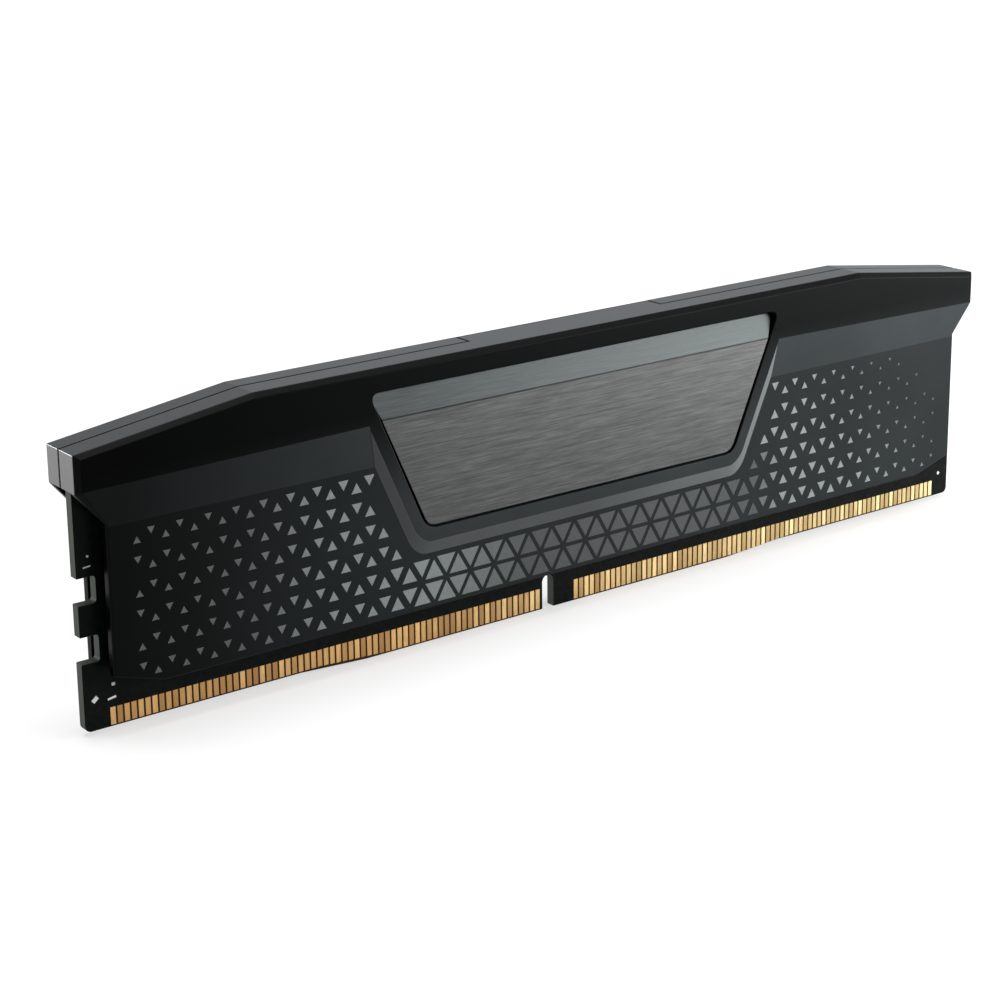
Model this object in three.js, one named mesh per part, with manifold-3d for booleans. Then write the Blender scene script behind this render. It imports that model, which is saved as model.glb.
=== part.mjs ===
// Desktop memory module with a two-part aluminium heat spreader.
// Millimetres. X runs along the board, the front face looks towards -Y, +Z is up.
// The origin is the middle of the bottom edge of the board, where it stands in its socket.
import * as THREE from 'three';
import { mergeVertices } from 'three/addons/utils/BufferGeometryUtils.js';
import { ConvexGeometry } from 'three/addons/geometries/ConvexGeometry.js';
import Module from 'manifold-3d';

const wasm = await Module();
wasm.setup();

// ---- circuit board -------------------------------------------------------------------------
const boardLength = 133.35;
const boardHeight = 31.25;
const boardThickness = 1.27;
const boardCornerRadius = 0.75;
const edgeStep = 0.5;            // the connector edge hangs this much lower in its middle
const edgeFlatHalf = 28;         // half length of that lower stretch
const edgeRampLength = 9;        // length of the ramp at each end of it
const notchDepth = 2.2;
const notchHeight = 3.0;
const notchBottoms = [8.3, 14.9];
const notchRadius = 0.4;
const slotOffset = 1.625;        // last left-hand contact to the middle of the key slot
const slotWidth = 1.7;
const slotTop = 4.25;

// ---- edge contacts -------------------------------------------------------------------------
const contactPitch = 0.85;
const contactWidth = 0.62;
const contactTop = 2.72;
const contactEdgeGap = 0.2;      // bare board under each contact
const contactRaise = 0.05;       // how far the gold stands off the board
const contactFoil = 0.03;        // copper strip under the gold, let into the board
const contactFoilInset = 0.1;    // the strip stays this far inside the ends of the contacts
const contactEndInset = 3.35;    // board end to the middle of the first contact
const contactsLeft = 69;
const contactsRight = 75;

// ---- parts on the board ------------------------------------------------------------------
const chipSize = [7.6, 11.0];
const chipHeight = 1.0;
const chipFirst = 20.0;          // middle of the board to the middle of the first chip
const chipEndGap = 3.1;          // last chip to the end of the spreader's waist
const chipsPerSide = 4;
const chipZ = 16.5;
const powerChipSize = [5.0, 5.0];
const powerChipAt = [0, 18.0];
const powerChipHeight = 0.85;
const hubSize = [3.0, 2.0];
const hubAt = [7.5, 9.6];
const hubHeight = 0.6;
const inductorSize = [3.2, 2.5];
const inductorHeight = 0.95;
const inductorAt = [[-5.6, 24.2], [0, 24.2], [5.6, 24.2]];
const capacitorSize = [1.6, 0.8];
const capacitorHeight = 0.8;
const capacitorAt = [[-7.4, 20.0], [-7.4, 16.0], [7.4, 20.0], [7.4, 16.0], [-3.4, 12.6], [3.4, 12.6]];
const resistorPackSize = [2.0, 1.0];
const resistorPackHeight = 0.45;
const resistorPackBelow = 0.5;   // gap between a chip and the resistor pack under it
const padThickness = 0.315;
const padMargin = 0.6;
const powerPadMargin = 0.4;
const foamMargin = 3.0;

// ---- nameplate -----------------------------------------------------------------------------
const plateBottom = 15.35;
const plateHalfBottom = 23.4;
const plateLean = 0.9;           // how far the top strip leans back
const plateTopStrip = 3.05;      // height of that strip
const plateTopDrop = 3.0;        // top of the spreader to the top of the plate
const plateSideLean = 0.443;     // sideways run of each side for each millimetre of height
const plateRadius = 1.2;
const plateThickness = 0.6;
const plateSunk = 0.1;           // plate face below the raised face
const plateGlue = 0.35;
const plateGlueInset = 1.5;
const pocketGap = 0.3;
const labelInset = 1.5;
const labelThickness = 0.12;

// ---- heat spreader -------------------------------------------------------------------------
const wall = 1.55;
const topWall = 1.2;
const headerSkin = 0.35;         // metal left behind the deepest part of the pocket
const headerRise = 0.25;         // the thick header starts this far above the plate's bend
const topRise = 3.85;            // top of the spreader above the top of the board
const endTopRise = 0.9;          // the same at each end, where the top has sloped down
const endOverhang = 0.725;       // end of the spreader beyond the end of the board
const flatTopRun = 21.6;         // length of each sloping stretch of the top
const endHeight = 4.25;          // height of the flat end faces
const waistDrop = 3.9;           // height of the slanted edge under each end
const waistInset = 2.575;        // end of the board to the end of the waist
const spreaderBottom = 5.2;
const bottomCornerRise = 1.8;
const bottomCornerRun = 6.1;
const edgeBevel = 0.6;
const boardClearance = 0.12;
const seamY = 0.25;              // parting line between the two halves
const seamGap = 0.2;
const reliefDepth = 0.45;        // how far the patterned field lies below the raised face
const bandLift = 0.2;            // lower edge of the raised band above the underside of the ends
const bandSlope = 4.35;          // height of the slope down from the raised band to the field
const frameRim = 2.0;            // width of the raised rim beside the plate
const frameRimBelow = 1.85;      // the same below the plate
const frameSlopeBelow = 1.55;    // height of the slope from that rim down to the field
const frameSlopeAside = 1.25;    // width of the slope on each side
const tabHalf = 14.5;            // the front half folds over the rear one here
const tabEdge = 0.25;            // the tab stops this far short of the rear bevel
const tabGap = 0.25;

// ---- values worked out from the sizes above ------------------------------------------------
const halfBoard = boardLength / 2;
const boardFace = boardThickness / 2;
const firstContact = -halfBoard + contactEndInset;
const firstRightContact = halfBoard - contactEndInset - (contactsRight - 1) * contactPitch;
const lastLeftContact = firstContact + (contactsLeft - 1) * contactPitch;
const keyCentre = (lastLeftContact + firstRightContact) / 2;
const slotCentre = lastLeftContact + slotOffset;
const chipFace = boardFace + chipHeight;
const innerFace = chipFace + padThickness;
const outerFace = innerFace + wall;
const fieldFace = outerFace - reliefDepth;
const spreaderTop = boardHeight + topRise;
const spreaderEndTop = boardHeight + endTopRise;
const halfSpreader = halfBoard + endOverhang;
const flatTopHalf = halfSpreader - flatTopRun;
const wingBottom = spreaderEndTop - endHeight;
const waistTop = wingBottom - waistDrop;
const waistHalf = halfBoard - waistInset;
const innerHalf = halfBoard + boardClearance;
const bandTop = wingBottom + bandLift;
const bandBottom = bandTop - bandSlope;
const plateTop = spreaderTop - plateTopDrop;
const plateBend = plateTop - plateTopStrip;
const plateFace = outerFace - plateSunk;
const pocketDepth = plateSunk + plateThickness + plateGlue;
const pocketFace = outerFace - pocketDepth;
const headerFace = pocketFace - plateLean - headerSkin;
const headerBottom = plateBend + headerRise;
const frameCrestBottom = plateBottom - frameRimBelow;
const frameFootBottom = frameCrestBottom - frameSlopeBelow;
const plateHalfAt = (z) => plateHalfBottom + (z - plateBottom) * plateSideLean;
const tabReach = outerFace - edgeBevel - tabEdge;
const reach = 2 * halfSpreader;  // longer than anything a cutter has to clear

// ---- finishes ------------------------------------------------------------------------------
const finish = (color, roughness, metalness) => new THREE.MeshStandardMaterial({ color, roughness, metalness });
const blackAluminium = () => finish(0x2b2f31, 0.42, 0.85);
const blackBoard = () => finish(0x0d100e, 0.5, 0.0);
const gold = () => finish(0xd2a25a, 0.28, 1.0);
const nickel = () => finish(0x8a8a88, 0.35, 0.9);
const chipPlastic = () => finish(0x1c1c1e, 0.6, 0.0);
const padSilicone = () => finish(0x8d9aa3, 0.85, 0.0);
const foam = () => finish(0x3a3a3c, 0.95, 0.0);
const ceramic = () => finish(0xa58b6a, 0.55, 0.0);
const ferrite = () => finish(0x4b4b4d, 0.55, 0.1);
const adhesive = () => finish(0xd9d5c8, 0.8, 0.0);
const labelPaper = () => finish(0xd8dadb, 0.6, 0.0);

// ---- shape helpers -------------------------------------------------------------------------
function toSolid(geometry) {
  const plain = geometry.index ? geometry.toNonIndexed() : geometry.clone();
  plain.deleteAttribute('normal');
  plain.deleteAttribute('uv');
  const merged = mergeVertices(plain, 1e-4);
  const mesh = new wasm.Mesh({
    numProp: 3,
    vertProperties: new Float32Array(merged.attributes.position.array),
    triVerts: new Uint32Array(merged.index.array),
  });
  return new wasm.Manifold(mesh);
}

function toGeometry(solid) {
  const mesh = solid.getMesh();
  const geometry = new THREE.BufferGeometry();
  geometry.setAttribute('position', new THREE.BufferAttribute(mesh.vertProperties, 3));
  geometry.setIndex(new THREE.BufferAttribute(mesh.triVerts, 1));
  const flat = geometry.toNonIndexed();
  flat.computeVertexNormals();
  return flat;
}

// A box between two corners.
function boxGeometry([x0, y0, z0], [x1, y1, z1]) {
  const geometry = new THREE.BoxGeometry(x1 - x0, y1 - y0, z1 - z0);
  geometry.translate((x0 + x1) / 2, (y0 + y1) / 2, (z0 + z1) / 2);
  return geometry;
}

const box = (low, high) => toSolid(boxGeometry(low, high));

// A shape drawn in X and Z, made solid between two Y values.
function slabGeometry(shape, yFront, yBack, bevel = 0) {
  const geometry = new THREE.ExtrudeGeometry(shape, {
    depth: yBack - yFront - 2 * bevel,
    curveSegments: 6,
    bevelEnabled: bevel > 0,
    bevelThickness: bevel,
    bevelSize: bevel,
    bevelOffset: -bevel,
    bevelSegments: 1,
  });
  geometry.rotateX(Math.PI / 2);
  geometry.translate(0, yBack - bevel, 0);
  return geometry;
}

const slab = (shape, yFront, yBack, bevel) => toSolid(slabGeometry(shape, yFront, yBack, bevel));

// A profile drawn in Y and Z, made solid along the whole length.
function bar(points) {
  const shape = new THREE.Shape(points.map(([y, z]) => new THREE.Vector2(y, z)));
  const geometry = new THREE.ExtrudeGeometry(shape, { depth: reach, bevelEnabled: false });
  geometry.rotateX(Math.PI / 2);
  geometry.rotateZ(Math.PI / 2);
  geometry.translate(-reach / 2, 0, 0);
  return toSolid(geometry);
}

// A closed outline through corner points, each corner rounded to the same radius.
function roundedShape(points, radius) {
  const shape = new THREE.Shape();
  points.forEach((point, i) => {
    const corner = new THREE.Vector2(...point);
    const before = new THREE.Vector2(...points[(i + points.length - 1) % points.length]);
    const after = new THREE.Vector2(...points[(i + 1) % points.length]);
    const start = corner.clone().add(before.sub(corner).setLength(radius));
    const end = corner.clone().add(after.sub(corner).setLength(radius));
    if (i === 0) shape.moveTo(start.x, start.y);
    else shape.lineTo(start.x, start.y);
    shape.quadraticCurveTo(corner.x, corner.y, end.x, end.y);
  });
  shape.closePath();
  return shape;
}

const straightShape = (points) => new THREE.Shape(points.map(([x, z]) => new THREE.Vector2(x, z)));

// Mirrors the right-hand points of an outline to make the whole of it.
function mirrored(rightPoints) {
  const leftPoints = rightPoints.map(([x, z]) => [-x, z]).reverse();
  return [...rightPoints, ...leftPoints];
}

const model = new THREE.Group();

function addPart(name, shape, material) {
  const geometry = shape.isBufferGeometry ? shape : toGeometry(shape);
  const mesh = new THREE.Mesh(geometry, material);
  mesh.name = name;
  model.add(mesh);
}

// ---- circuit board -------------------------------------------------------------------------
function notchCutter(side, bottom) {
  const inner = side * (halfBoard - notchDepth);
  const outer = side * (halfBoard + notchDepth);
  const top = bottom + notchHeight;
  const corners = [[inner, bottom], [outer, bottom], [outer, top], [inner, top]];
  if (side < 0) corners.reverse();
  return slab(roundedShape(corners, notchRadius), -boardThickness, boardThickness);
}

function slotCutter() {
  const half = slotWidth / 2;
  const shape = new THREE.Shape();
  shape.moveTo(slotCentre - half, -edgeStep - slotWidth);
  shape.lineTo(slotCentre + half, -edgeStep - slotWidth);
  shape.lineTo(slotCentre + half, slotTop - half);
  shape.absarc(slotCentre, slotTop - half, half, 0, Math.PI, false);
  shape.closePath();
  return slab(shape, -boardThickness, boardThickness);
}

// Height of the connector edge at a place along the board.
function edgeHeight(x) {
  const beyond = Math.abs(x - keyCentre) - edgeFlatHalf;
  return edgeStep * Math.min(Math.max(beyond / edgeRampLength, 0), 1);
}

// The four corner points of the stepped edge, from left to right.
function edgePoints() {
  const flatLeft = keyCentre - edgeFlatHalf;
  const flatRight = keyCentre + edgeFlatHalf;
  return [[flatLeft - edgeRampLength, edgeStep], [flatLeft, 0], [flatRight, 0], [flatRight + edgeRampLength, edgeStep]];
}

function boardBlank() {
  const r = boardCornerRadius;
  const shape = new THREE.Shape();
  shape.moveTo(-halfBoard + r, edgeStep);
  edgePoints().forEach(([x, z]) => shape.lineTo(x, z));
  shape.lineTo(halfBoard - r, edgeStep);
  shape.absarc(halfBoard - r, edgeStep + r, r, -Math.PI / 2, 0, false);
  shape.lineTo(halfBoard, boardHeight);
  shape.lineTo(-halfBoard, boardHeight);
  shape.lineTo(-halfBoard, edgeStep + r);
  shape.absarc(-halfBoard + r, edgeStep + r, r, Math.PI, 1.5 * Math.PI, false);
  return slab(shape, -boardFace, boardFace);
}

// One row of contacts, all standing on one thin strip of copper let into the board.
function contactShapes(first, count) {
  const half = contactWidth / 2;
  const places = Array.from({ length: count }, (_, i) => first + i * contactPitch);
  const low = (x) => edgeHeight(x) + contactEdgeGap;
  const fingers = places.map((x) => {
    const corners = [[x - half, low(x - half)], [x + half, low(x + half)], [x + half, contactTop], [x - half, contactTop]];
    return straightShape(corners);
  });
  const left = places[0];
  const right = places[count - 1];
  const bends = edgePoints().map(([x]) => x).filter((x) => x > left && x < right);
  const underside = [left, ...bends, right].map((x) => [x, low(x) + contactFoilInset]);
  const stripTop = contactTop - contactFoilInset;
  const strip = straightShape([...underside, [right, stripTop], [left, stripTop]]);
  return { fingers, strip };
}

function contactRow(shapes, side) {
  const span = (a, b) => (side < 0 ? [-b, -a] : [a, b]);
  const proud = boardFace + contactRaise;
  const strip = slab(shapes.strip, ...span(boardFace - contactFoil, boardFace + contactRaise / 2));
  const fingers = shapes.fingers.map((finger) => slab(finger, ...span(boardFace, proud)));
  return wasm.Manifold.union([strip, ...fingers]);
}

const leftShapes = contactShapes(firstContact, contactsLeft);
const rightShapes = contactShapes(firstRightContact, contactsRight);

let board = boardBlank().subtract(slotCutter());
for (const side of [-1, 1]) {
  for (const bottom of notchBottoms) board = board.subtract(notchCutter(side, bottom));
  for (const { strip } of [leftShapes, rightShapes]) {
    const inner = side * (boardFace - contactFoil);
    const outer = side * boardThickness;
    board = board.subtract(slab(strip, Math.min(inner, outer), Math.max(inner, outer)));
  }
}
addPart('pcb', board, blackBoard());
addPart('contacts_front_left', contactRow(leftShapes, -1), gold());
addPart('contacts_front_right', contactRow(rightShapes, -1), gold());
addPart('contacts_rear_left', contactRow(leftShapes, 1), gold());
addPart('contacts_rear_right', contactRow(rightShapes, 1), gold());

// ---- parts soldered to the front of the board ----------------------------------------------
function addBoardPart(name, [x, z], [width, height], depth, material) {
  const low = [x - width / 2, -boardFace - depth, z - height / 2];
  const high = [x + width / 2, -boardFace, z + height / 2];
  addPart(name, boxGeometry(low, high), material);
}

const chipLast = waistHalf - chipEndGap - chipSize[0] / 2;
const chipPitch = (chipLast - chipFirst) / (chipsPerSide - 1);
const chipPlaces = Array.from({ length: chipsPerSide }, (_, i) => chipFirst + i * chipPitch);
const chipRow = [...chipPlaces.map((x) => -x).reverse(), ...chipPlaces];
chipRow.forEach((x, i) => addBoardPart(`memory_chip_${i + 1}`, [x, chipZ], chipSize, chipHeight, chipPlastic()));
addBoardPart('power_manager_chip', powerChipAt, powerChipSize, powerChipHeight, chipPlastic());
addBoardPart('spd_hub_chip', hubAt, hubSize, hubHeight, chipPlastic());
inductorAt.forEach((place, i) => {
  addBoardPart(`power_inductor_${i + 1}`, place, inductorSize, inductorHeight, ferrite());
});
capacitorAt.forEach((place, i) => {
  addBoardPart(`bulk_capacitor_${i + 1}`, place, capacitorSize, capacitorHeight, ceramic());
});
const resistorPackZ = chipZ - (chipSize[1] + resistorPackSize[1]) / 2 - resistorPackBelow;
const resistorPackPlaces = [-chipPlaces[2], -chipPlaces[0], chipPlaces[0], chipPlaces[2]];
resistorPackPlaces.forEach((x, i) => {
  addBoardPart(`resistor_pack_${i + 1}`, [x, resistorPackZ], resistorPackSize, resistorPackHeight, chipPlastic());
});

// ---- thermal pads and foam -----------------------------------------------------------------
const chipsInner = chipFirst - chipSize[0] / 2 - padMargin;
const chipsOuter = chipLast + chipSize[0] / 2 + padMargin;
const chipsLow = chipZ - chipSize[1] / 2 - padMargin;
const chipsHigh = chipZ + chipSize[1] / 2 + padMargin;

function addPad(name, [xLow, xHigh], [yLow, yHigh], [zLow, zHigh], material) {
  addPart(name, boxGeometry([xLow, yLow, zLow], [xHigh, yHigh, zHigh]), material);
}

const frontPadDepth = [-innerFace, -chipFace];
addPad('thermal_pad_left', [-chipsOuter, -chipsInner], frontPadDepth, [chipsLow, chipsHigh], padSilicone());
addPad('thermal_pad_right', [chipsInner, chipsOuter], frontPadDepth, [chipsLow, chipsHigh], padSilicone());
const powerPadX = [0, 1].map((end) => powerChipAt[0] + (end - 0.5) * (powerChipSize[0] + 2 * powerPadMargin));
const powerPadZ = [0, 1].map((end) => powerChipAt[1] + (end - 0.5) * (powerChipSize[1] + 2 * powerPadMargin));
const powerPadDepth = [-innerFace, -boardFace - powerChipHeight];
addPad('thermal_pad_power_chip', powerPadX, powerPadDepth, powerPadZ, padSilicone());
const foamX = [chipsInner + foamMargin, chipsOuter - foamMargin];
const foamDepth = [boardFace, innerFace];
addPad('foam_tape_rear_left', [-foamX[1], -foamX[0]], foamDepth, [chipsLow, chipsHigh], foam());
addPad('foam_tape_rear_right', foamX, foamDepth, [chipsLow, chipsHigh], foam());

// ---- heat spreader -------------------------------------------------------------------------
const spreaderOutline = mirrored([
  [waistHalf - bottomCornerRun, spreaderBottom],
  [waistHalf, spreaderBottom + bottomCornerRise],
  [waistHalf, waistTop],
  [halfSpreader, wingBottom],
  [halfSpreader, spreaderEndTop],
  [flatTopHalf, spreaderTop],
]);

// The cavity reaches past the waist, and under the wings it is open at both ends.
const cavityOutline = mirrored([
  [innerHalf, 0],
  [innerHalf, boardHeight + boardClearance],
  [flatTopHalf, spreaderTop - topWall],
]);

// The raised frame: a crest outline on the outer face that slopes down to a wider foot.
function raisedFrame() {
  const crestAt = (z) => [plateHalfAt(z) + frameRim, z];
  const footAt = (z) => [plateHalfAt(z) + frameRim + frameSlopeAside, z];
  const crest = mirrored([crestAt(frameCrestBottom), crestAt(bandTop)]);
  const foot = mirrored([footAt(frameFootBottom), footAt(bandTop)]);
  return slopedSolid(crest, foot);
}

// The raised upper band: full length, sloping down to the patterned field along its lower side.
function raisedBand() {
  const crest = mirrored([[reach / 2, bandTop], [reach / 2, spreaderTop]]);
  const foot = mirrored([[reach / 2, bandBottom], [reach / 2, spreaderTop]]);
  return slopedSolid(crest, foot);
}

function slopedSolid(crest, foot) {
  const points = [
    ...crest.map(([x, z]) => new THREE.Vector3(x, -outerFace, z)),
    ...foot.map(([x, z]) => new THREE.Vector3(x, -fieldFace, z)),
    ...foot.map(([x, z]) => new THREE.Vector3(x, -innerFace, z)),
  ];
  return toSolid(new ConvexGeometry(points));
}

// One half of the spreader with its outer face towards -Y, ending at the parting line.
function spreaderHalf(partingY) {
  const blank = slab(straightShape(spreaderOutline), -outerFace, outerFace, edgeBevel);
  const field = box([-reach, -fieldFace, -reach], [reach, partingY, reach]);
  const relief = field.add(raisedBand()).add(raisedFrame());
  const cavity = slab(straightShape(cavityOutline), -headerFace, outerFace + edgeBevel);
  const lowCavity = box([-innerHalf, -innerFace, 0], [innerHalf, outerFace, headerBottom]);
  const underWings = box([-reach, -innerFace, 0], [reach, outerFace, wingBottom]);
  return blank.intersect(relief).subtract(cavity).subtract(lowCavity).subtract(underWings);
}

// ---- nameplate, its pocket and its adhesive ------------------------------------------------
function plateCorners(grow) {
  return mirrored([
    [plateHalfAt(plateBottom) + grow, plateBottom - grow],
    [plateHalfAt(plateTop) + grow, plateTop + grow],
  ]);
}

function nameplate() {
  const back = plateFace - plateThickness;
  const section = bar([
    [-plateFace, plateBottom],
    [-back, plateBottom],
    [-back, plateBend],
    [-back + plateLean, plateTop],
    [-plateFace + plateLean, plateTop],
    [-plateFace, plateBend],
  ]);
  const outline = slab(roundedShape(plateCorners(0), plateRadius), -outerFace, 0);
  return section.intersect(outline);
}

function pocketCutter() {
  const above = outerFace + edgeBevel;
  const deep = pocketFace - plateLean;
  const section = bar([
    [-above, plateBottom - pocketGap],
    [-pocketFace, plateBottom - pocketGap],
    [-pocketFace, plateBend - pocketGap],
    [-deep, plateTop],
    [-deep, plateTop + pocketGap],
    [-above, plateTop + pocketGap],
  ]);
  const outline = slab(roundedShape(plateCorners(pocketGap), plateRadius + pocketGap), -above, 0);
  return section.intersect(outline);
}

function plateAdhesive() {
  const low = plateBottom + plateGlueInset;
  const high = plateBend - plateGlueInset;
  const cornerAt = (z) => [plateHalfAt(z) - plateGlueInset, z];
  const outline = mirrored([cornerAt(low), cornerAt(high)]);
  return slab(straightShape(outline), -plateFace + plateThickness, -pocketFace);
}

// The front half, with the tab that folds over the top of the rear half.
const tab = box([-tabHalf, seamY - seamGap, spreaderTop - topWall], [tabHalf, tabReach, spreaderTop]);
const frontHalf = spreaderHalf(seamY - seamGap / 2).subtract(pocketCutter()).add(tab);
addPart('heat_spreader_front', frontHalf, blackAluminium());

// The rear half is the same shell turned round, with room cut in its top for the tab.
const tabRoom = box(
  [-tabHalf - tabGap, 0, spreaderTop - topWall - tabGap],
  [tabHalf + tabGap, tabReach + tabGap, spreaderTop + topWall],
);
const turnedHalf = toGeometry(spreaderHalf(-seamY - seamGap / 2));
turnedHalf.rotateZ(Math.PI);
addPart('heat_spreader_rear', toSolid(turnedHalf).subtract(tabRoom), blackAluminium());

addPart('nameplate', nameplate(), nickel());
addPart('nameplate_adhesive', plateAdhesive(), adhesive());

const labelCornerAt = (z) => [plateHalfAt(z) + frameRim - labelInset, z];
const labelOutline = mirrored([labelCornerAt(frameCrestBottom + labelInset), labelCornerAt(bandTop)]);
addPart('rear_label', slab(straightShape(labelOutline), outerFace, outerFace + labelThickness), labelPaper());

export default model;
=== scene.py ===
import math

import bmesh
import bpy
from mathutils import Matrix, Vector
from mathutils.bvhtree import BVHTree


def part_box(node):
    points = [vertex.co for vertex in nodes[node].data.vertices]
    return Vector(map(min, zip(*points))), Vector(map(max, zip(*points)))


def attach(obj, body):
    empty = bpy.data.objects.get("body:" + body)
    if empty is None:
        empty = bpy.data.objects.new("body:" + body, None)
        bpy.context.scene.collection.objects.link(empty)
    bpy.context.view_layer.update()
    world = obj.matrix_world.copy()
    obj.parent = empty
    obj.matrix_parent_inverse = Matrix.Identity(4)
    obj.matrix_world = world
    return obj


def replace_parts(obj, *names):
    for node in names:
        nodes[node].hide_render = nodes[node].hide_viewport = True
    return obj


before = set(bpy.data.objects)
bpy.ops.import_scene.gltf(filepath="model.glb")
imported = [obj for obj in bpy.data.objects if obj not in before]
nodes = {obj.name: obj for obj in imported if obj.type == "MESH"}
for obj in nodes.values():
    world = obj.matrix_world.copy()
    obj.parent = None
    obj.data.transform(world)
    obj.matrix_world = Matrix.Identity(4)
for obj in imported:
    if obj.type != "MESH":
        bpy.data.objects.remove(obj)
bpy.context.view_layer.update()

# ---- sizes, in metres ------------------------------------------------------------------------
MM = 0.001

SHELL_EASE = 0.10 * MM        # broken edges of the pressed and coined spreader
PLATE_EASE = 0.06 * MM
BOARD_EASE = 0.05 * MM
MERGE_SHORT = 0.07 * MM       # corners closer than this are one corner
SHARP_FROM = math.radians(12) # an edge that turns by more than this is broken

CONTACT_PITCH = 0.85 * MM
CONTACT_WIDTH = 0.62 * MM
CONTACT_BOTTOM = 0.2 * MM     # bare board under a contact
CONTACT_LET_IN = 0.01 * MM    # how deep its foot is set into the board
CONTACT_EASE = 0.02 * MM
MASK_LOW = 2.75 * MM          # the mask starts here, above the contacts
MASK_BLUR = 0.05 * MM         # and fades out over this
EDGE_STEP = 0.5 * MM          # the connector edge is this much lower in its middle
EDGE_FLAT_HALF = 28 * MM
EDGE_RAMP = 9 * MM

FIELD_FACE = 3.05 * MM        # the patterned field on either side, from the middle plane
RAISED_FACE = 3.5 * MM        # the raised faces, likewise
FACE_PLAY = 0.03 * MM         # a face this near to one of the two counts as lying on it
BAND_TOP = 28.1 * MM          # lower edge of the raised header
BAND_BOTTOM = 23.75 * MM      # foot of the slope under it
FRAME_HALF = 32 * MM          # the frame round the nameplate ends here, at the foot of the band
FRAME_LOW = 14 * MM           # the frame's two lower corners lie below this and outside the next
FRAME_LOW_HALF = 22 * MM
FRAME_CORNER = 1.5 * MM       # how far those corners are cut back when they are rounded
END_FROM = 66 * MM            # only the end faces lie further out than this
PLATE_BEND = 29.05 * MM       # height of the nameplate's bend

CELL_SIDE = 3.464 * MM        # one triangular cell of the field
ROW_HEIGHT = 3.0 * MM
ROW_TOP = 23.55 * MM
ROWS = 6
FIELD_HALF = 61.6 * MM        # no triangle's middle lies further out
FIELD_MARGIN = 0.16 * MM      # a triangle keeps this far from the edge of the field
FACET_RAISE = 0.025 * MM
FACET_SINK = 0.002 * MM       # how deep its foot is set into the field
FADE_LEAN = 0.9               # the fade at the right-hand end starts further left the higher it is
FADE_FOOT = 5.5 * MM          # height at which the fade's distances are measured
FADE_END = 70 * MM            # no triangles past this

INK_THICKNESS = 0.02 * MM
INK_MIDDLE = 0.005 * MM       # the middle of the ink lies this far off the board

board_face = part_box("pcb")[1].y


# ---- node helpers ----------------------------------------------------------------------------
class Finish:
    """A procedural material, built node by node on Object coordinates."""

    def __init__(self, name):
        self.material = bpy.data.materials.new(name)
        self.material.use_nodes = True
        self.tree = self.material.node_tree
        self.shader = self.tree.nodes["Principled BSDF"]
        self.place = self.tree.nodes.new("ShaderNodeTexCoord").outputs["Object"]

    def node(self, kind, settings=None, **inputs):
        made = self.tree.nodes.new("ShaderNode" + kind)
        for key, value in (settings or {}).items():
            setattr(made, key, value)
        for key, value in inputs.items():
            self.feed(made.inputs[key.replace("_", " ")], value)
        return made

    def feed(self, socket, value):
        if isinstance(value, bpy.types.NodeSocket):
            self.tree.links.new(value, socket)
        else:
            socket.default_value = value

    def set(self, **inputs):
        for key, value in inputs.items():
            self.feed(self.shader.inputs[key.replace("_", " ")], value)

    def scaled(self, x, y, z, at=(0, 0, 0)):
        """Object coordinates stretched by x, y and z."""
        mapping = self.node("Mapping", {"vector_type": "POINT"}, Vector=self.place)
        mapping.inputs["Scale"].default_value = (x, y, z)
        mapping.inputs["Location"].default_value = at
        return mapping.outputs["Vector"]

    def noise(self, scale, detail=3.0, rough=0.55, vector=None):
        made = self.node("TexNoise", Scale=scale, Detail=detail, Roughness=rough)
        self.feed(made.inputs["Vector"], vector if vector is not None else self.place)
        return made.outputs["Fac"]

    def ramp(self, fac, *stops):
        made = self.tree.nodes.new("ShaderNodeValToRGB")
        elements = made.color_ramp.elements
        while len(elements) < len(stops):
            elements.new(0.5)
        for element, (at, colour) in zip(elements, stops):
            element.position = at
            element.color = (*colour, 1)
        self.feed(made.inputs["Fac"], fac)
        return made.outputs["Color"]

    def between(self, value, low, high, start=0.0, end=1.0):
        """Goes evenly from low to high as value goes from start to end, and stays there past them."""
        made = self.node("MapRange")
        for key, number in zip(("From Min", "From Max", "To Min", "To Max"), (start, end, low, high)):
            made.inputs[key].default_value = number
        self.feed(made.inputs["Value"], value)
        return made.outputs["Result"]

    def maths(self, operation, a, b=0.0):
        made = self.tree.nodes.new("ShaderNodeMath")
        made.operation = operation
        self.feed(made.inputs[0], a)
        self.feed(made.inputs[1], b)
        return made.outputs[0]

    def mixed(self, fac, a, b):
        made = self.tree.nodes.new("ShaderNodeMix")
        made.data_type = "RGBA"
        self.feed(made.inputs["Factor"], fac)
        self.feed(made.inputs["A"], a if isinstance(a, bpy.types.NodeSocket) else (*a, 1))
        self.feed(made.inputs["B"], b if isinstance(b, bpy.types.NodeSocket) else (*b, 1))
        return made.outputs["Result"]

    def times(self, colour, factor):
        made = self.tree.nodes.new("ShaderNodeVectorMath")
        made.operation = "SCALE"
        self.feed(made.inputs[0], colour)
        self.feed(made.inputs["Scale"], factor)
        return made.outputs[0]

    def axis(self, letter):
        return self.node("SeparateXYZ", Vector=self.place).outputs[letter]

    def bump(self, height, strength, distance):
        """Fine relief in the finish, which doesn't change the piece's shape."""
        made = self.node("Bump", Strength=strength, Distance=distance, Height=height)
        self.set(Normal=made.outputs["Normal"])


# ---- finishes --------------------------------------------------------------------------------
RIM_LOW, RIM_HIGH = 18 * MM, 30 * MM          # painted shade: a darker colour takes over upwards between these heights
PAINTED_SHADE_FROM, PAINTED_SHADE_TO = -22 * MM, -62 * MM       # painted shade darkens the black leftwards between these
PAINTED_SHADE_END = 0.12                               # share of its colour that the painted shade leaves past the second
PAINTED_LIGHT_FROM, PAINTED_LIGHT_TO = 0 * MM, 30 * MM          # a painted highlight makes the right-hand side paler between these


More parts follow.
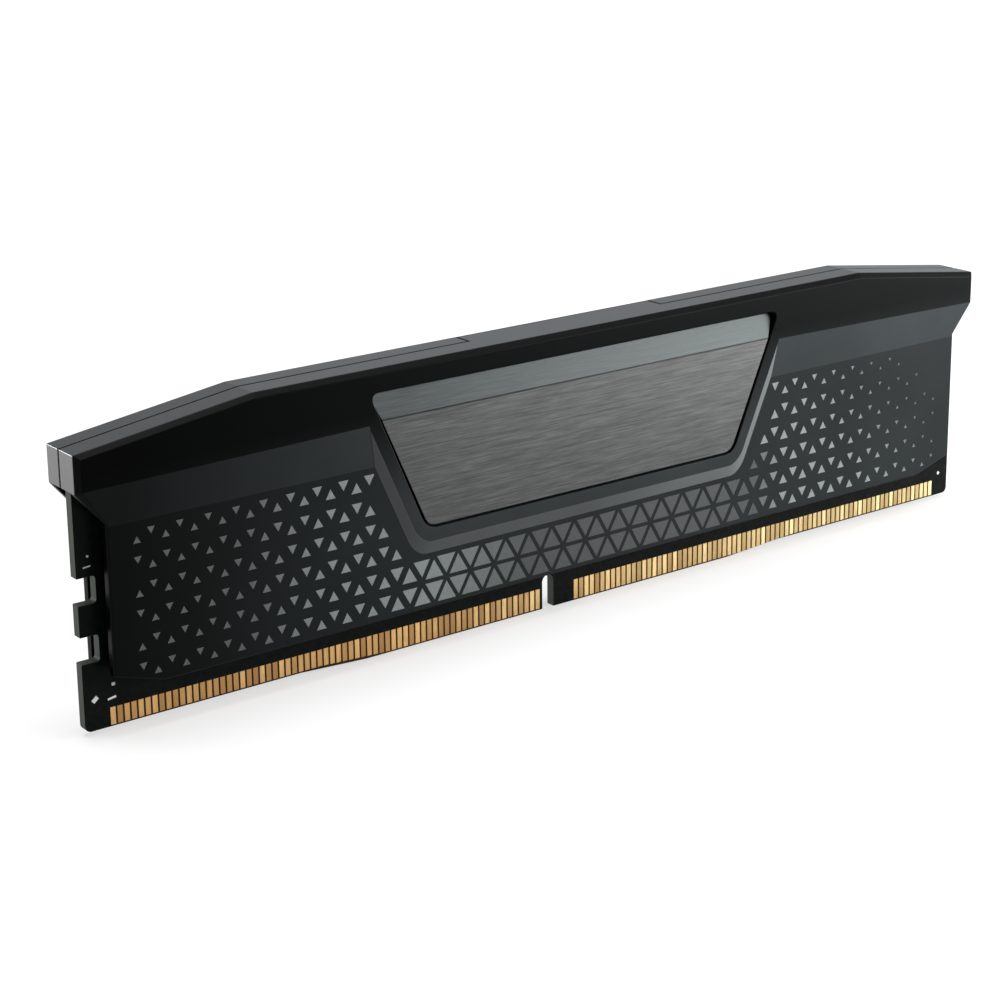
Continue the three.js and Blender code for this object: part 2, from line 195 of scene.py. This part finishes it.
def black_anodising(name, shade, specular, rough, painted_upper_shade=None, painted_light_right=None, gloss_tint=(1, 1, 1)):
    """Blasted and dyed aluminium, darkened towards the left-hand end by painted shade; it can also take
    painted shade towards the top and a painted highlight towards the right.
    """
    f = Finish(name)
    grain = f.noise(9000, 2.0)
    cloud = f.noise(60, 3.0)
    colour = f.ramp(cloud, (0.35, shade), (0.65, tuple(1.25 * c for c in shade)))
    # painted shade: the colour darkens towards the top
    if painted_upper_shade:
        colour = f.mixed(f.between(f.axis("Z"), 0.0, 1.0, RIM_LOW, RIM_HIGH), colour, painted_upper_shade)
    x = f.axis("X")
    # painted shade: the colour darkens towards the left-hand end
    share = f.between(x, PAINTED_SHADE_END, 1.0, PAINTED_SHADE_TO, PAINTED_SHADE_FROM)
    # painted highlight: the colour grows paler towards the right-hand end
    if painted_light_right:
        share = f.maths("MULTIPLY", share, f.between(x, 1.0, painted_light_right, PAINTED_LIGHT_FROM, PAINTED_LIGHT_TO))
    f.set(Base_Color=f.times(colour, share))
    f.set(Roughness=f.between(grain, rough - 0.05, rough + 0.05, 0.3, 0.7))
    f.shader.inputs["Specular IOR Level"].default_value = specular
    f.shader.inputs["Specular Tint"].default_value = (*gloss_tint, 1)
    f.bump(grain, 0.12, 0.02 * MM)
    return f.material


def etched_facets():
    """The satin triangles of the field, paler where the attribute tone is high."""
    f = Finish("satin_etched_aluminium")
    tone = f.node("Attribute", {"attribute_type": "GEOMETRY", "attribute_name": "tone"}).outputs["Fac"]
    grain = f.noise(7000, 2.0)
    pale = f.ramp(grain, (0.3, (0.150, 0.172, 0.168)), (0.7, (0.200, 0.225, 0.220)))
    dark = f.ramp(grain, (0.3, (0.018, 0.021, 0.021)), (0.7, (0.030, 0.034, 0.034)))
    f.set(Base_Color=f.mixed(tone, dark, pale))
    f.set(Roughness=f.between(grain, 0.34, 0.5, 0.3, 0.7))
    f.shader.inputs["Specular IOR Level"].default_value = 0.3
    f.bump(grain, 0.2, 0.02 * MM)
    return f.material


def brushed_nickel():
    """Fine streaks along the plate; painted shade makes the facet above the bend darker and draws a dark line
    where it bends.
    """
    f = Finish("brushed_dark_nickel")
    z = f.axis("Z")
    streaks = f.noise(1.0, 4.0, 0.7, f.scaled(240, 4000, 8500))
    coarse = f.noise(1.0, 3.0, 0.6, f.scaled(60, 900, 1900))
    both = f.maths("ADD", f.maths("MULTIPLY", streaks, 0.8), f.maths("MULTIPLY", coarse, 0.2))
    face = f.ramp(
        both, (0.36, (0.039, 0.040, 0.0395)), (0.5, (0.057, 0.0585, 0.058)), (0.64, (0.080, 0.082, 0.081)),
    )
    # painted shade: the facet above the bend is a darker copy of the face's colour
    strip = f.ramp(
        both, (0.36, (0.022, 0.0245, 0.0245)), (0.5, (0.029, 0.0325, 0.0325)), (0.64, (0.038, 0.042, 0.042)),
    )
    plain = f.mixed(f.maths("GREATER_THAN", z, PLATE_BEND), face, strip)
    # painted shade: darker along the bend
    off_bend = f.maths("ABSOLUTE", f.maths("SUBTRACT", z, PLATE_BEND))
    f.set(Base_Color=f.times(plain, f.between(off_bend, 0.25, 1.0, 0.05 * MM, 0.14 * MM)))
    f.set(Metallic=1.0, Roughness=f.between(both, 0.34, 0.46, 0.35, 0.65))
    f.bump(both, 0.15, 0.02 * MM)
    return f.material


def contact_gold():
    """Each contact has its own slight tint and dullness, and painted light makes them paler towards the right
    and painted shade deeper towards the left.
    """
    f = Finish("hard_gold_plating")
    x = f.axis("X")
    which = f.maths("FLOOR", f.maths("DIVIDE", x, CONTACT_PITCH))
    chance = f.node("TexWhiteNoise", {"noise_dimensions": "1D"}, W=which).outputs["Value"]
    wear = f.noise(900, 3.0, 0.6, f.scaled(2.5, 1, 0.6))
    # painted light and shade: the contacts go from a deeper colour at the left to a paler one at the right
    along = f.between(x, 0.0, 1.0, -30 * MM, 62 * MM)
    rich = f.mixed(chance, (0.38, 0.20, 0.075), (0.66, 0.41, 0.17))
    bright = f.mixed(chance, (0.64, 0.48, 0.22), (0.88, 0.74, 0.40))
    tint = f.mixed(along, rich, bright)
    f.set(Base_Color=f.mixed(f.between(wear, 0.0, 0.5, 0.45, 0.75), tint, (0.30, 0.165, 0.065)))
    f.set(Metallic=1.0, Roughness=f.between(chance, 0.22, 0.40))
    f.bump(wear, 0.15, 0.03 * MM)
    return f.material


def solder_mask():
    """Black mask over the laminate, bare and brown between the contacts."""
    f = Finish("black_solder_mask")
    x, z = f.axis("X"), f.axis("Z")
    speckle = f.noise(2500, 2.0)
    below_mask = f.between(z, 1.0, 0.0, MASK_LOW - MASK_BLUR, MASK_LOW)
    along_rows = 0.0
    for node in ("contacts_front_left", "contacts_front_right"):
        lo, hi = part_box(node)
        inside = f.maths("MULTIPLY", f.maths("GREATER_THAN", x, lo.x), f.maths("LESS_THAN", x, hi.x))
        along_rows = f.maths("ADD", inside, along_rows)
    bare = f.maths("MULTIPLY", below_mask, along_rows)
    mask = f.ramp(speckle, (0.3, (0.002, 0.0028, 0.0026)), (0.7, (0.0045, 0.006, 0.0055)))
    glass = f.ramp(speckle, (0.3, (0.030, 0.014, 0.005)), (0.7, (0.055, 0.028, 0.010)))
    f.set(Base_Color=f.mixed(bare, mask, glass))
    f.set(Roughness=f.between(speckle, 0.28, 0.42, 0.3, 0.7))
    f.shader.inputs["Specular IOR Level"].default_value = 0.04
    f.bump(speckle, 0.1, 0.02 * MM)
    return f.material


def laminate_edge():
    """Cut edge of the board: glass cloth layers in greenish resin."""
    f = Finish("cut_laminate_edge")
    layers = f.noise(1.0, 2.0, 0.5, f.scaled(400, 9000, 400))
    f.set(Base_Color=f.ramp(layers, (0.35, (0.020, 0.026, 0.020)), (0.65, (0.045, 0.056, 0.044))))
    f.set(Roughness=f.between(layers, 0.5, 0.75))
    f.shader.inputs["Specular IOR Level"].default_value = 0.15
    f.bump(layers, 0.3, 0.03 * MM)
    return f.material


def speckled(name, dark, pale, scale, rough, bump_strength=0.2, metallic=0.0):
    """A moulded, fired or foamed material with a fine even grain."""
    f = Finish(name)
    grain = f.noise(scale, 3.0)
    f.set(Base_Color=f.ramp(grain, (0.32, dark), (0.68, pale)))
    f.set(Roughness=f.between(grain, rough - 0.08, rough + 0.08, 0.3, 0.7), Metallic=metallic)
    f.bump(grain, bump_strength, 0.03 * MM)
    return f.material


def blank_label():
    """Pale film with a faint weave, and nothing printed on it."""
    f = Finish("blank_label_film")
    fibres = f.noise(1.0, 4.0, 0.6, f.scaled(900, 900, 2500))
    f.set(Base_Color=f.ramp(fibres, (0.35, (0.40, 0.41, 0.41)), (0.65, (0.50, 0.51, 0.51))))
    f.set(Roughness=f.between(fibres, 0.42, 0.55))
    f.bump(fibres, 0.1, 0.02 * MM)
    return f.material


def silkscreen_ink():
    """White print on the board."""
    return speckled("silkscreen_ink", (0.55, 0.56, 0.55), (0.75, 0.76, 0.75), 6000, 0.6)


# painted light and shade: the whole shell is one black anodising; its slopes, top, end faces and side walls
# are lit and shaded copies of it, the end faces are painted pale grey as painted light, and the raised face
# is painted darker towards its top
RAISED = black_anodising("black_raised_face", (0.026, 0.030, 0.030), 0.02, 0.34, (0.0025, 0.0032, 0.0033))
BAND_SLOPE = black_anodising("black_band_slope", (0.029, 0.034, 0.0355), 0.04, 0.36)
FIELD = black_anodising("black_field", (0.0155, 0.0185, 0.0190), 0.03, 0.36)
# the frame slope takes a painted highlight on its right-hand side
FRAME_SLOPE = black_anodising("black_frame_slope", (0.036, 0.041, 0.0410), 0.30, 0.32, painted_light_right=2.4)
TOP = black_anodising("black_top", (0.010, 0.0130, 0.0148), 0.26, 0.40, gloss_tint=(0.72, 0.87, 0.97))
END = black_anodising("painted_light_black_end_face", (0.60, 0.60, 0.61), 0.60, 0.38)
EDGES = black_anodising("black_edges", (0.0025, 0.003, 0.003), 0.05, 0.34)
FACET = etched_facets()
NICKEL = brushed_nickel()
GOLD = contact_gold()
MASK = solder_mask()
EDGE = laminate_edge()
INK = silkscreen_ink()

CARRIED = {
    "chip_plastic": speckled("moulded_chip_plastic", (0.010, 0.010, 0.011), (0.022, 0.022, 0.023), 3500, 0.6),
    "silicone_pad": speckled("grey_silicone_pad", (0.22, 0.24, 0.26), (0.32, 0.34, 0.36), 1800, 0.8),
    "foam": speckled("black_foam_tape", (0.012, 0.012, 0.012), (0.035, 0.035, 0.035), 1500, 0.9, 0.6),
    "ceramic": speckled("fired_ceramic", (0.20, 0.13, 0.075), (0.28, 0.19, 0.115), 4000, 0.5),
    "ferrite": speckled("pressed_ferrite", (0.035, 0.035, 0.037), (0.07, 0.07, 0.072), 3000, 0.65),
    "adhesive": speckled("clear_grey_adhesive", (0.16, 0.16, 0.15), (0.24, 0.24, 0.23), 1200, 0.45),
    "label": blank_label(),
    "black_aluminium": FIELD,
    "brushed_nickel": NICKEL,
    "gold": GOLD,
    "board": MASK,
}
for node in nodes.values():
    for slot in node.material_slots:
        slot.material = CARRIED[slot.material.name.split(".")[0]]


# ---- mesh helpers ----------------------------------------------------------------------------
def graded(value, start, end, at_start, at_end):
    """Goes evenly from at_start to at_end as value goes from start to end, and stays there past them."""
    share = min(max((value - start) / (end - start), 0.0), 1.0)
    return at_start + (at_end - at_start) * share


def finished(form, name, slot_name, *materials):
    """Turns a bmesh into a piece that rides on the module."""
    mesh = bpy.data.meshes.new(name)
    form.to_mesh(mesh)
    form.free()
    for material in materials:
        mesh.materials.append(material)
    piece = bpy.data.objects.new(name, mesh)
    bpy.context.scene.collection.objects.link(piece)
    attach(piece, "root")
    return piece


def whole_copy(node):
    """A CAD node's shape with its loose triangles joined into whole faces."""
    form = bmesh.new()
    form.from_mesh(nodes[node].data)
    bmesh.ops.remove_doubles(form, verts=form.verts, dist=MERGE_SHORT)
    join_flat_faces(form)
    return form


def join_flat_faces(form):
    """Takes the edges out of flat faces."""
    bmesh.ops.dissolve_degenerate(form, dist=0.001 * MM, edges=form.edges)
    bmesh.ops.dissolve_limit(form, angle_limit=math.radians(0.6), verts=form.verts, edges=form.edges)


def ease_edges(form, offset, segments=2, keep=None):
    """Breaks the sharp edges of a form, all of them or those that keep() names."""
    sharp = [
        e for e in form.edges
        if len(e.link_faces) == 2 and e.calc_face_angle(0) > SHARP_FROM and (keep is None or keep(e))
    ]
    bmesh.ops.bevel(
        form, geom=sharp, offset=offset, offset_type="OFFSET", affect="EDGES",
        segments=segments, profile=0.5, material=-1, clamp_overlap=False,
    )


# ---- heat spreader and nameplate -------------------------------------------------------------
SHELL_FINISHES = (RAISED, BAND_SLOPE, FIELD, FRAME_SLOPE, TOP, END, EDGES)


def shell_finish(face):
    """Which of the shell's finishes a face takes, by where it lies and looks; most are lit and shaded copies
    of one black anodising, so this places painted light and shade.
    """
    middle = face.calc_center_median()
    depth = abs(middle.y)
    if abs(face.normal.x) > 0.9:
        return END if abs(middle.x) > END_FROM else EDGES
    if face.normal.z > 0.9:
        return TOP
    if abs(face.normal.y) < 0.8:
        return EDGES
    if depth < FIELD_FACE + FACE_PLAY:
        return FIELD
    if depth < RAISED_FACE - FACE_PLAY and middle.z < BAND_TOP:
        under_header = middle.z > BAND_BOTTOM and abs(middle.x) > FRAME_HALF
        return BAND_SLOPE if under_header else FRAME_SLOPE
    return RAISED


def round_frame_corners(form):
    """Rounds the two lower corners of the frame's slope, which run from the field to the raised face."""
    slope_depth = RAISED_FACE - FIELD_FACE
    corners = [
        e for e in form.edges
        if max(v.co.z for v in e.verts) < FRAME_LOW and min(abs(v.co.x) for v in e.verts) > FRAME_LOW_HALF
        and abs(abs(e.verts[0].co.y) - abs(e.verts[1].co.y)) > slope_depth - FACE_PLAY
        and min(abs(v.co.y) for v in e.verts) > FIELD_FACE - FACE_PLAY
    ]
    bmesh.ops.bevel(
        form, geom=corners, offset=FRAME_CORNER, offset_type="OFFSET", affect="EDGES",
        segments=5, profile=0.5, material=-1, clamp_overlap=False,
    )


for half in ("front", "rear"):
    shell = whole_copy("heat_spreader_" + half)
    round_frame_corners(shell)
    for face in shell.faces:
        face.material_index = SHELL_FINISHES.index(shell_finish(face))
    ease_edges(shell, SHELL_EASE)
    piece = finished(shell, "spreader_shell_" + half, "black_aluminium", *SHELL_FINISHES)
    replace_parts(piece, "heat_spreader_" + half)

plate = whole_copy("nameplate")
ease_edges(plate, PLATE_EASE)
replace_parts(finished(plate, "brushed_plate", "brushed_nickel", NICKEL), "nameplate")


# ---- board -----------------------------------------------------------------------------------
def board_blank():
    """The board with the grooves for its copper strips filled, its cut edges in laminate."""
    form = bmesh.new()
    form.from_mesh(nodes["pcb"].data)
    for vert in form.verts:
        if abs(vert.co.y) > 0.5 * board_face:
            vert.co.y = math.copysign(board_face, vert.co.y)
    bmesh.ops.remove_doubles(form, verts=form.verts, dist=0.01 * MM)
    join_flat_faces(form)
    for face in form.faces:
        face.material_index = 0 if abs(face.normal.y) > 0.9 else 1
    return form


board = board_blank()
ease_edges(board, BOARD_EASE, 1)
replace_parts(finished(board, "circuit_board", "board", MASK, EDGE), "pcb")


# ---- contacts --------------------------------------------------------------------------------
def edge_height(x):
    """Height of the connector edge, which is lower in its middle than at its ends."""
    return graded(abs(x), EDGE_FLAT_HALF, EDGE_FLAT_HALF + EDGE_RAMP, 0.0, EDGE_STEP)


def contact_row(node):
    """A row of separate gold contacts where the CAD node has its comb."""
    lo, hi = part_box(node)
    count = round((hi.x - lo.x - CONTACT_WIDTH) / CONTACT_PITCH) + 1
    outer = max(lo.y, hi.y, key=abs)
    inner = math.copysign(board_face - CONTACT_LET_IN, outer)
    form = bmesh.new()
    for k in range(count):
        x = lo.x + CONTACT_WIDTH / 2 + k * CONTACT_PITCH
        bottom = edge_height(x) + CONTACT_BOTTOM
        size = (CONTACT_WIDTH, abs(outer - inner), hi.z - bottom)
        middle = Vector((x, (inner + outer) / 2, (bottom + hi.z) / 2))
        bmesh.ops.create_cube(form, size=1, matrix=Matrix.Translation(middle) @ Matrix.Diagonal((*size, 1)))
    ease_edges(form, CONTACT_EASE, 1, lambda e: all(abs(v.co.y - outer) < 0.001 * MM for v in e.verts))
    piece = finished(form, node.replace("contacts", "gold_contacts"), "gold", GOLD)
    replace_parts(piece, node)


for side in ("front_left", "front_right", "rear_left", "rear_right"):
    contact_row("contacts_" + side)


# ---- patterned field -------------------------------------------------------------------------
def along_fade(x, z):
    """How far a place is along the leaning fade at the right-hand end."""
    return x + FADE_LEAN * (z - FADE_FOOT)


def facet_share(x, z):
    """How much of its cell a triangle fills: small towards both ends, large under the plate."""
    if abs(x) < 31 * MM and z < 12 * MM:
        return graded(abs(x), 31 * MM, 22 * MM, 0.40, 0.76)
    if x < 0:
        return graded(x, -33 * MM, -52 * MM, 0.41, 0.27)
    return graded(along_fade(x, z), 42 * MM, 64 * MM, 0.40, 0.14)


def facet_tone(x, z):
    """How pale a triangle is, 0 dark and 1 pale: dark under the plate and at the right-hand end, and darker
    towards the left-hand end through painted shade.
    """
    if -25 * MM < x < 33 * MM and z < 14 * MM:
        return max(graded(x, -9 * MM, -24 * MM, 0.08, 1.0), graded(x, 28 * MM, 33 * MM, 0.08, 1.0))
    # painted shade: darker towards the left-hand end
    if x < 0:
        return graded(x, -37 * MM, -47 * MM, 1.0, 0.28)
    return graded(along_fade(x, z), 50 * MM, 66 * MM, 1.0, 0.20)


def triangle_field(half, outward):
    """Rows of low satin triangles, each where all three of its corners stand on the flat field."""
    shell = whole_copy("heat_spreader_" + half)
    tree = BVHTree.FromBMesh(shell)
    shell.free()
    form = bmesh.new()
    tone = form.faces.layers.float.new("tone")
    half_cells = int(2 * FIELD_HALF / CELL_SIDE)
    for row in range(ROWS):
        base = ROW_TOP - (row + 1) * ROW_HEIGHT
        for column in range(-half_cells, half_cells + 1):
            x = column * CELL_SIDE / 2
            upright = (column + row) % 2 == 1
            z = base + ROW_HEIGHT / 3 if upright else base + 2 * ROW_HEIGHT / 3
            if along_fade(x, z) > FADE_END:
                continue
            radius = facet_share(x, z) * CELL_SIDE / math.sqrt(3)
            turn = 0 if upright else math.pi
            reach = radius + FIELD_MARGIN
            corners = [
                (x + reach * math.sin(turn + a), z + reach * math.cos(turn + a))
                for a in (0, 2 * math.pi / 3, 4 * math.pi / 3)
            ]
            if not all(on_field(tree, *corner, outward) for corner in corners):
                continue
            point_up = 0 if outward < 0 else math.pi
            place = (
                Matrix.Translation((x, outward * (FIELD_FACE + FACET_RAISE / 2 - FACET_SINK), z))
                @ Matrix.Rotation(turn + point_up, 4, "Y")
                @ Matrix.Rotation(-outward * math.pi / 2, 4, "X")
            )
            made = bmesh.ops.create_cone(
                form, cap_ends=True, cap_tris=False, segments=3,
                radius1=radius, radius2=radius - FACET_RAISE, depth=FACET_RAISE, matrix=place,
            )
            for face in {f for v in made["verts"] for f in v.link_faces}:
                face[tone] = facet_tone(x, z)
    return finished(form, "field_triangles_" + half, "black_aluminium", FACET)


def on_field(tree, x, z, outward):
    """Whether the shell's outermost face at x and z is its field."""
    start = Vector((x, 3 * outward * RAISED_FACE, z))
    hit = tree.ray_cast(start, Vector((0, -outward, 0)))[0]
    return hit is not None and abs(hit.y - outward * FIELD_FACE) < FACE_PLAY


triangle_field("front", -1)
triangle_field("rear", 1)


# ---- marks printed on the board ----------------------------------------------------------------
def board_marks():
    """Plain ink ticks and dots at both ends: x, z, width and height in millimetres, turn in degrees."""
    form = bmesh.new()
    left_end = [
        (-65.35, 4.05, 0.75, 0.5, 40), (-63.35, 3.75, 1.0, 0.25, 10), (-63.1, 5.3, 0.4, 0.35, 0),
        (-65.25, 20.2, 0.25, 0.25, 0), (-65.4, 19.05, 0.9, 0.16, 5),
    ]
    right_end = [(65.5, 15.8 + 1.4 * k, 0.5, 0.16, 0) for k in range(5)] + [(64.9, 3.6, 0.4, 0.4, 45)]
    for x, z, width, height, turn in left_end + right_end:
        place = (
            Matrix.Translation((x * MM, -board_face - INK_MIDDLE, z * MM))
            @ Matrix.Rotation(math.radians(-turn), 4, "Y")
            @ Matrix.Diagonal((width * MM, INK_THICKNESS, height * MM, 1))
        )
        bmesh.ops.create_cube(form, size=1, matrix=place)
    return finished(form, "board_marks", "board", INK)


board_marks()


# ---- floor and lamps -------------------------------------------------------------------------
FLOOR_HALF = 6.0              # metres
FLOOR_DROP = 0.02 * MM        # the floor lies this far under the board's edge
FLOOR_SHADE = 0.42
NEAR, FAR = 0.14, 0.8         # the floor's own light comes up between these distances
NEAR_LIGHT, FAR_LIGHT = 0.54, 1.0
WORLD_LIGHT = 0.30            # what the white surroundings cast on the object


def seen_directly(tree):
    """1 for rays from the camera and for what gloss and glass show, 0 for the light on surfaces."""
    path = tree.nodes.new("ShaderNodeLightPath")
    total = path.outputs["Is Camera Ray"]
    for name in ("Is Glossy Ray", "Is Transmission Ray"):
        add = tree.nodes.new("ShaderNodeMath")
        add.operation = "MAXIMUM"
        tree.links.new(total, add.inputs[0])
        tree.links.new(path.outputs[name], add.inputs[1])
        total = add.outputs[0]
    return total


def studio_floor():
    """White paper that keeps the object's shadow and looks whiter further away."""
    form = bmesh.new()
    bmesh.ops.create_grid(form, x_segments=1, y_segments=1, size=FLOOR_HALF)
    mesh = bpy.data.meshes.new("studio_floor")
    form.to_mesh(mesh)
    form.free()
    floor = bpy.data.objects.new("studio_floor", mesh)
    floor.location.z = -FLOOR_DROP
    bpy.context.scene.collection.objects.link(floor)
    material = bpy.data.materials.new("white_paper_floor")
    material.use_nodes = True
    tree = material.node_tree
    shader = tree.nodes["Principled BSDF"]
    shader.inputs["Base Color"].default_value = (FLOOR_SHADE, FLOOR_SHADE, FLOOR_SHADE, 1)
    shader.inputs["Roughness"].default_value = 0.9
    shader.inputs["Specular IOR Level"].default_value = 0.0
    shader.inputs["Emission Color"].default_value = (1, 1, 1, 1)
    lift = tree.nodes.new("ShaderNodeMath")
    lift.operation = "MULTIPLY"
    away = tree.nodes.new("ShaderNodeVectorMath")
    away.operation = "LENGTH"
    tree.links.new(tree.nodes.new("ShaderNodeTexCoord").outputs["Object"], away.inputs[0])
    level = tree.nodes.new("ShaderNodeMapRange")
    levels = (("From Min", NEAR), ("From Max", FAR), ("To Min", NEAR_LIGHT), ("To Max", FAR_LIGHT))
    for key, number in levels:
        level.inputs[key].default_value = number
    tree.links.new(away.outputs["Value"], level.inputs["Value"])
    tree.links.new(level.outputs["Result"], lift.inputs[1])
    tree.links.new(seen_directly(tree), lift.inputs[0])
    tree.links.new(lift.outputs[0], shader.inputs["Emission Strength"])
    mesh.materials.append(material)


def studio_world():
    """White surroundings that cast less light on the object than they show."""
    world = bpy.data.worlds.new("studio")
    bpy.context.scene.world = world
    world.use_nodes = True
    tree = world.node_tree
    back = tree.nodes["Background"]
    back.inputs["Color"].default_value = (1, 1, 1, 1)
    level = tree.nodes.new("ShaderNodeMapRange")
    level.inputs["To Min"].default_value = WORLD_LIGHT
    level.inputs["To Max"].default_value = 1.0
    tree.links.new(seen_directly(tree), level.inputs["Value"])
    tree.links.new(level.outputs["Result"], back.inputs["Strength"])


def softbox(name, at, towards, width, height, watts):
    """A rectangular lamp that faces a point of the object."""
    lamp = bpy.data.lights.new(name, "AREA")
    lamp.shape = "RECTANGLE"
    lamp.size, lamp.size_y = width, height
    lamp.energy = watts
    holder = bpy.data.objects.new(name, lamp)
    bpy.context.scene.collection.objects.link(holder)
    holder.location = at
    holder.rotation_mode = "QUATERNION"
    holder.rotation_quaternion = (Vector(towards) - Vector(at)).to_track_quat("-Z", "Y")


studio_floor()
studio_world()
softbox(
    "overhead_softbox", at=(0.05, 0.05, 0.75), towards=(0, 0, 0.018),
    width=0.7, height=0.5, watts=6.0,
)
softbox(
    "right_front_softbox", at=(0.175, -0.13, 0.045), towards=(0.055, 0, 0.02),
    width=0.16, height=0.08, watts=0.62,
)
softbox(
    "right_softbox", at=(0.33, -0.03, 0.035), towards=(0.04, 0, 0.02),
    width=0.10, height=0.06, watts=0.55,
)
softbox(
    "back_left_softbox", at=(-0.30, 0.34, 0.06), towards=(-0.06, 0, 0.03),
    width=0.22, height=0.11, watts=1.5,
)

# ---- camera ----------------------------------------------------------------------------------
CAMERA_AT = Vector((-0.171390, -0.213809, 0.102314))
CAMERA_AIM = Vector((-0.010414, 0.0, 0.027326))
CAMERA_ROLL = math.radians(-0.636)

lens = bpy.data.cameras.new("camera")
lens.lens = 85.1
lens.sensor_width = 36.0
lens.shift_y = -0.1
lens.clip_start = 0.005
camera = bpy.data.objects.new("camera", lens)
bpy.context.scene.collection.objects.link(camera)
camera.location = CAMERA_AT
camera.rotation_mode = "QUATERNION"
aim = (CAMERA_AIM - CAMERA_AT).to_track_quat("-Z", "Y")
camera.rotation_quaternion = aim @ Matrix.Rotation(CAMERA_ROLL, 3, "Z").to_quaternion()
bpy.context.scene.camera = camera
bpy.context.scene.view_settings.view_transform = "Standard"
